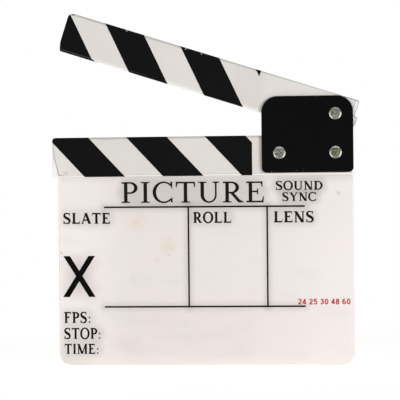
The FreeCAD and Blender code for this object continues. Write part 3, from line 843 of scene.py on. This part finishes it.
def capitals(heavy, fine):
    """Capitals with serifs, each as its width and its strokes, from the widths of stems and hairlines."""
    high, low = 1 - fine / 2, fine / 2
    leaning, leaning_fine = LEANING * heavy, LEANING_FINE * fine
    stem = [straight(0.24, 0, 0.24, 1, heavy)]
    stem_foot, stem_head = [foot(0.24, 0.2)], [head(0.24, 0.2)]
    top_arm = [straight(0.05, high, 0.74, high, fine), beak(0.735, 1, 0.035, -0.27)]
    middle_arm = [straight(0.24, 0.52, 0.56, 0.52, fine), straight(0.56, 0.39, 0.56, 0.65, 0.06)]
    base_arm = [straight(0.05, low, 0.78, low, fine), beak(0.775, 0, 0.05, 0.29)]
    upper_bowl = [
        straight(0.05, high, 0.42, high, fine),
        straight(0.24, 0.47, 0.42, 0.47, fine),
        bowl(0.42, (high + 0.47) / 2, 0.28, (high - 0.47) / 2, -90, 90, heavy, heavy, fine),
    ]
    return {
        "A": (1.02, [
            slanted(0.13, 0, 0.50, 1, leaning_fine), slanted(0.48, 1, 0.87, 0, leaning),
            straight(0.26, 0.34, 0.74, 0.34, fine), foot(0.13, 0.13), foot(0.87, 0.16),
        ]),
        "C": (0.98, [
            bowl(0.53, 0.5, 0.43, 0.48, 40, 320, heavy, fine, fine),
            beak(0.87, 1, 0.02, -0.32), beak(0.88, 0.02, 0.02, 0.25),
        ]),
        "D": (1.02, stem + [
            straight(0.05, high, 0.44, high, fine), straight(0.05, low, 0.44, low, fine),
            bowl(0.44, 0.5, 0.44, 0.5 - fine / 2, -90, 90, heavy, heavy, fine),
        ]),
        "E": (0.88, stem + top_arm + middle_arm + base_arm),
        "F": (0.82, stem + top_arm + middle_arm + stem_foot),
        "I": (0.48, stem + stem_foot + stem_head),
        "L": (0.88, stem + stem_head + base_arm),
        "M": (1.28, [
            straight(0.19, 0, 0.19, 1, fine), straight(1.06, 0, 1.06, 1, heavy),
            slanted(0.17, 1, 0.62, 0.02, leaning), slanted(0.63, 0.02, 1.04, 1, leaning_fine),
            foot(0.19, 0.15), foot(1.06, 0.19), head(0.12, 0.12), head(1.12, 0.13),
        ]),
        "N": (1.04, [
            straight(0.2, 0, 0.2, 1, fine), straight(0.86, 0, 0.86, 1, fine),
            slanted(0.17, 1, 0.83, 0, LEANING_FAR * heavy),
            foot(0.2, 0.15), head(0.13, 0.12), head(0.86, 0.15),
        ]),
        "O": (1.06, [bowl(0.53, 0.5, 0.43, 0.48, 0, 360, heavy, heavy, fine)]),
        "P": (0.82, stem + upper_bowl + stem_foot),
        "R": (0.98, stem + upper_bowl + stem_foot + [
            slanted(0.44, 0.48, 0.83, 0, leaning), foot(0.86, 0.12),
        ]),
        "S": (0.8, [
            swash(S_LINE, heavy * np.array(S_SWELL + S_SWELL[-2::-1])),
            beak(0.655, 1, 0.01, -0.3), beak(0.095, 0, -0.01, 0.32),
        ]),
        "T": (0.92, [
            straight(0.46, 0, 0.46, 1, heavy), straight(0.05, high, 0.87, high, fine),
            beak(0.075, 1, -0.035, -0.27), beak(0.845, 1, 0.035, -0.27), foot(0.46, 0.2),
        ]),
        "U": (1.04, [
            straight(0.23, 0.36, 0.23, 1, heavy), straight(0.84, 0.36, 0.84, 1, fine),
            bowl(0.535, 0.365, 0.305, 0.34, 180, 360, heavy, fine, fine),
            head(0.23, 0.2), head(0.84, 0.15),
        ]),
        "Y": (1.0, [
            slanted(0.16, 1, 0.50, 0.45, leaning), slanted(0.86, 1, 0.52, 0.45, leaning_fine),
            straight(0.51, 0, 0.51, 0.47, heavy), head(0.16, 0.16), head(0.86, 0.13), foot(0.51, 0.2),
        ]),
        ":": (0.4, [dot(0.18, 0.09, 0.085), dot(0.18, 0.5, 0.085)]),
    }


def numerals(wide):
    """Plain numerals of one stroke width, each as its width and its strokes."""

    def even(*points):
        return swash(points, [wide] * len(points))

    def ring(x, z, reach, rise):
        return bowl(x, z, reach, rise, 0, 360, wide, wide, wide)

    return {
        "0": (0.7, [ring(0.33, 0.5, 0.24, 0.42)]),
        "2": (0.7, [
            even((0.1, 0.70), (0.17, 0.86), (0.33, 0.92), (0.5, 0.85), (0.54, 0.68), (0.45, 0.5),
                 (0.25, 0.27), (0.1, 0.09)),
            straight(0.04, 0.08, 0.62, 0.08, wide),
        ]),
        "3": (0.7, [
            even((0.09, 0.83), (0.28, 0.92), (0.47, 0.85), (0.5, 0.69), (0.4, 0.56), (0.24, 0.52)),
            even((0.26, 0.53), (0.46, 0.48), (0.55, 0.31), (0.48, 0.14), (0.28, 0.08), (0.07, 0.16)),
        ]),
        "4": (0.72, [
            straight(0.46, 0, 0.46, 1, wide), straight(0.44, 0.95, 0.07, 0.28, wide),
            straight(0.03, 0.25, 0.65, 0.25, wide),
        ]),
        "5": (0.7, [
            straight(0.13, 0.92, 0.58, 0.92, wide), straight(0.18, 0.97, 0.13, 0.46, wide),
            even((0.11, 0.5), (0.3, 0.6), (0.5, 0.52), (0.57, 0.33), (0.48, 0.14), (0.28, 0.08),
                 (0.07, 0.17)),
        ]),
        "6": (0.7, [
            ring(0.33, 0.31, 0.23, 0.23),
            even((0.5, 0.86), (0.34, 0.93), (0.18, 0.82), (0.1, 0.58), (0.1, 0.33)),
        ]),
        "8": (0.7, [ring(0.33, 0.73, 0.19, 0.19), ring(0.33, 0.29, 0.24, 0.22)]),
    }


TITLE_CAPITALS = capitals(heavy=0.16, fine=0.08)
SMALL_CAPITALS = capitals(heavy=0.24, fine=0.13)
NUMERALS = numerals(wide=0.21)


def strip(left, right, ring, rise):
    """A thin raised strip on the board's face: a four-cornered profile, sunk a little behind the face
    and standing a little before it, carried along the two edges of a stroke."""
    back, front = BOARD_FACE + LEGEND_SINK, BOARD_FACE - rise
    count = len(left)
    points = np.empty((count, 4, 3))
    points[:, :, ::2] = np.stack([left, right, right, left], 1)
    points[:, :, 1] = (back, back, front, front)
    faces = grid_faces(count, 4, ring, True)
    if not ring:
        first = np.arange(4)
        faces = np.vstack([faces, first, 4 * count - 1 - first])
    return points.reshape(-1, 3), faces


def raised(strokes, step):
    """Strips of strokes that cross, each a step higher than the one before."""
    return [strip(*stroke, LEGEND_RISE + step * order) for order, stroke in enumerate(strokes)]


def written(lines, alphabet):
    """The strips of some lines: each line's letters side by side, stretched to fill its length."""
    shells = []
    for words, left, right, base_left, base_right, cap in lines:
        widths = [alphabet[letter][0] + LETTER_SPACE for letter in words]
        starts = np.cumsum([0.0] + widths[:-1])
        stretch = (right - left) / (sum(widths) - LETTER_SPACE)
        slope = (base_right - base_left) / (right - left)

        def placed(side, start):
            across = left + stretch * (side[:, 0] + start)
            return np.stack([across, cap * side[:, 1] + base_left + slope * (across - left)], 1)

        for letter, start in zip(words, starts):
            strokes = [(placed(one, start), placed(other, start), ring)
                       for one, other, ring in alphabet[letter][1]]
            shells += raised(strokes, RISE_STEP)
    return shells


def sheet(front, back):
    """A thin closed sheet between two grids of points, stitched round their borders."""
    rows, columns = front.shape[:2]
    index = np.arange(rows * columns).reshape(rows, columns)
    border = np.concatenate([index[0], index[1:, -1], index[-1, -2::-1], index[-2:0:-1, 0]])
    after = np.roll(border, -1)
    face = grid_faces(rows, columns)
    rim = np.stack([border, border + index.size, after + index.size, after], 1)
    faces = np.vstack([face, face[:, ::-1] + index.size, rim])
    return np.vstack([front.reshape(-1, 3), back.reshape(-1, 3)]), faces


def lower_film_shell():
    """A thin closed sheet over a grid: across, points crowd by the square towards the trimmed end;
    up, they are even. The top steps down over the heel's cut. The sheet leaves the bar by a lift that
    fades, by a cubic, away from the corner."""
    shares = np.linspace(0, 1, FILM_ROWS), np.linspace(0, 1, FILM_COLUMNS)
    share_up, share_along = np.meshgrid(*shares, indexing="ij")
    up = film_low[2] + (film_high[2] - film_low[2]) * share_up
    start = film_low[0] + trim_inset(up - stick_low[2])
    x = start + (film_high[0] - start) * share_along ** 2
    top = np.where(x > HEEL_CUT_START, HEEL_CUT_TOP, film_high[2])
    up = film_low[2] + (top - film_low[2]) * share_up
    corner_x = film_low[0] + trim_inset(film_low[2] - stick_low[2])
    away = np.hypot(x - corner_x, LIFT_HEIGHT_SHARE * (up - film_low[2])) / LIFT_REACH
    lift = LIFT * np.clip(1 - away, 0, 1) ** 3
    front = np.stack([x, film_low[1] - lift, up], 2)
    back = np.stack([x, film_high[1] - LIFT_BACK_SHARE * lift, up], 2)
    return sheet(front, back)


def tail_shell():
    """A thin sheet over a grid: across, it follows a quarter circle from the stick's front to its
    underside and then the underside; along, it reaches further the further it goes round."""
    turn = np.radians(np.linspace(0, 90, TAIL_ROUND_POINTS))
    flat = np.linspace(0, TAIL_DEPTH, TAIL_FLAT_POINTS + 1)[1:]
    outward_y = np.append(-np.cos(turn), np.zeros(TAIL_FLAT_POINTS))
    outward_up = np.append(-np.sin(turn), np.full(TAIL_FLAT_POINTS, -1.0))
    middle_y = CLAPPER_FRONT + EDGE_RADIUS + np.append(np.zeros(TAIL_ROUND_POINTS), flat)
    reach = np.append(EDGE_RADIUS * turn, EDGE_RADIUS * turn[-1] + flat)
    share = np.linspace(0, 1, TAIL_COLUMNS)
    along = TAIL_START + np.outer(TAIL_END + TAIL_SLANT * reach - TAIL_START, share)
    grids = []
    for radius in (EDGE_RADIUS + TAIL_THICKNESS, EDGE_RADIUS - LEGEND_SINK):
        depth, up = middle_y + radius * outward_y, EDGE_RADIUS + radius * outward_up
        x, z = clapper_place(along, up[:, None])
        grids.append(np.stack([x, np.broadcast_to(depth[:, None], x.shape), z], 2))
    return sheet(*grids)


# Finishes on the solids
nodes = frame["nodes"]
sticks = ("lower", "upper")
films = {stick: facing_film(stick) for stick in sticks}
vinyls = {stick: black_vinyl(stick) for stick in sticks}
paintwork = plate_paint()
nylon = natural_nylon()
dress(nodes["slate_board"], opal_sheet())
for stick in sticks:
    dress(nodes[stick + "_stick"], sawn_acrylic(stick))
dress(nodes["upper_stick_film"], films["upper"])
for name, node in nodes.items():
    if "_stripe_" in name:
        dress(node, vinyls[name.split("_")[0]])
    if name.endswith("_hinge_plate"):
        dress(node, paintwork)
    if name.endswith(("_washer", "_spacer")):
        dress(node, nylon)
for post, (steel, crest_highlight, head_turn, screw_turn) in POSTS.items():
    axis = post_axis(post)
    dress(nodes[post + "_post"], turned_metal(post + "_steel", axis, steel, head_turn, crest_highlight))
    dress(nodes[post + "_screw"], turned_metal(post + "_zinc", axis, ZINC, screw_turn))
dress(nodes["pivot_bush"], turned_metal("bush_brass", post_axis("pivot"), BRASS, BUSH_TURN))
dress(nodes["board_screws"], turned_metal("screw_zinc", SCREW_ROW, ZINC, BOARD_SCREW_TURN))

# New pieces
ink = legend_ink("black_legend", (22, 18, 17), (32, 27, 25), (120, 112, 108))
deep_ink = legend_ink("cross_vinyl", (4, 3, 3), (9, 7, 7), (40, 37, 35))
red_ink = legend_ink("red_legend", (176, 44, 40), (196, 62, 54), (226, 160, 152))
BLACK_LINES = [
    ("title_legend", TITLE, TITLE_CAPITALS),
    ("side_legend", SIDE_LINES, SMALL_CAPITALS),
    ("heading_legend", HEADINGS, SMALL_CAPITALS),
    ("row_legend", ROW_LABELS, SMALL_CAPITALS),
]
for name, lines, alphabet in BLACK_LINES:
    make_piece(name, written(lines, alphabet), ink, "slate")
make_piece("speed_legend", written(SPEEDS, NUMERALS), red_ink, "slate")
rules = raised([straight(*ends, RULE_WIDTH) for ends in RULES], RISE_STEP)
make_piece("ruled_lines", rules, ink, "slate")
cross = raised([slanted(*ends, CROSS_WIDTH) for ends in CROSS_ARMS], CROSS_RISE_STEP)
make_piece("cross_mark", cross, deep_ink, "slate")
lower_film = make_piece("lower_facing", [lower_film_shell()], films["lower"], "slate")
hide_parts("lower_stick_film")
make_piece("band_tail", [tail_shell()], vinyls["upper"], "clapper")


def surroundings(holder, ambient, reflected):
    """Strength of the white surroundings: 1 for the camera and through clear pieces, one strength in
    what glossy surfaces reflect, and the ambient strength as light."""
    path = holder.add("ShaderNodeLightPath").socket.node.outputs
    rays = ("Camera", "Glossy", "Transmission")
    straight_on, glossy, through = (Wire(holder, path["Is " + ray + " Ray"]) for ray in rays)
    seen = straight_on.most(through)
    return seen + (1 - seen) * (ambient + glossy * (reflected - ambient))


def white_glow(look, strength):
    """White light given off at a strength."""
    return look.add("ShaderNodeEmission", {}, {"Color": WHITE, "Strength": strength})


def pale_floor():
    """A matt pale floor that keeps the object's shadow, and passes into plain white far from it."""
    look = Finish("pale_floor")
    look.surface(Base_Color=FLOOR_COLOUR, Roughness=0.9, Specular_IOR_Level=0.0)
    glow = white_glow(look, surroundings(look, NEAR_FLOOR_LIGHT, 1.0) * FLOOR_LIFT)
    reflected = CAMERA_SIDE + (1 - CAMERA_SIDE) * look.y.rising(*FLOOR_CAMERA_SIDE)
    plain = white_glow(look, surroundings(look, FAR_FLOOR_LIGHT, reflected))
    near = look.add("ShaderNodeAddShader", {}, {0: Wire(look, look.shader.outputs[0]), 1: glow})
    far_share = distance(look.x, look.y).rising(*FLOOR_FADE)
    both = look.add("ShaderNodeMixShader", {}, {0: far_share, 1: near, 2: plain})
    look.feed(look.tree.nodes["Material Output"].inputs["Surface"], both)
    return look.material


def make_floor():
    """A large level square under the object."""
    mesh = bpy.data.meshes.new("floor")
    reach = FLOOR_REACH * MM
    points = [(-reach, -reach, 0), (reach, -reach, 0), (reach, reach, 0), (-reach, reach, 0)]
    mesh.from_pydata(points, [], [(0, 1, 2, 3)])
    floor = linked("floor", mesh)
    dress(floor, pale_floor())


class Sky(Finish):
    """The world's node tree, built with the same nodes as a finish. Its wires are a ray's direction."""

    def __init__(self):
        self.world = bpy.data.worlds.new("studio")
        self.world.use_nodes = True
        self.tree = self.world.node_tree
        direction = self.add("ShaderNodeTexCoord", out="Generated")
        axes = self.add("ShaderNodeSeparateXYZ", {}, {0: direction}).socket.node.outputs
        self.x, self.y, self.z = (Wire(self, socket) for socket in axes)


def light_sky():
    """White surroundings: less light from overhead, and a dim reflection from behind the camera."""
    sky = Sky()
    bpy.context.scene.world = sky.world
    background = sky.tree.nodes["Background"].inputs
    ambient = HORIZON_LIGHT + (ZENITH_LIGHT - HORIZON_LIGHT) * sky.z.rising(*SKY_LIGHT_RISE)
    reflected = CAMERA_SIDE + (1 - CAMERA_SIDE) * sky.y.rising(*SKY_CAMERA_SIDE)
    reflected = reflected * (1 + (ZENITH_SHEEN - 1) * sky.z.rising(*SKY_SHEEN_RISE))
    sky.feed(background["Color"], WHITE)
    sky.feed(background["Strength"], surroundings(sky, ambient, reflected))


def hang_lamp(name, place, size, power):
    """A soft square lamp at a place, facing the object, its power in watts."""
    light = bpy.data.lights.new(name, "AREA")
    light.size = size * MM
    light.energy = power
    start, toward = np.array(place) * MM, np.array(LAMP_AIM) * MM
    away = (start - toward) / np.linalg.norm(start - toward)
    side = np.cross((0, 0, 1), away)
    side /= np.linalg.norm(side)
    rows = np.column_stack([side, np.cross(away, side), away])
    linked(name, light).matrix_world = Matrix.Translation(start) @ Matrix(rows.tolist()).to_4x4()


def set_camera():
    """The camera, turned from looking along y: first rolled, then pitched, then yawed."""
    eye = bpy.data.cameras.new("camera")
    eye.sensor_width = SENSOR_WIDTH
    eye.lens = FOCAL_PIXELS * SENSOR_WIDTH / PICTURE_PIXELS
    eye.clip_start = NEAR_CLIP * MM
    eye.clip_end = FAR_CLIP * MM
    camera = linked("camera", eye)
    camera.matrix_world = (
        Matrix.Translation([part * MM for part in CAMERA_PLACE])
        @ Matrix.Rotation(math.radians(CAMERA_YAW), 4, "Z")
        @ Matrix.Rotation(math.radians(90 + CAMERA_PITCH), 4, "X")
        @ Matrix.Rotation(math.radians(CAMERA_ROLL), 4, "Z")
    )
    bpy.context.scene.camera = camera


make_floor()
light_sky()
for lamp in LAMPS:
    hang_lamp(*lamp)
set_camera()
bpy.context.scene.view_settings.view_transform = "Standard"
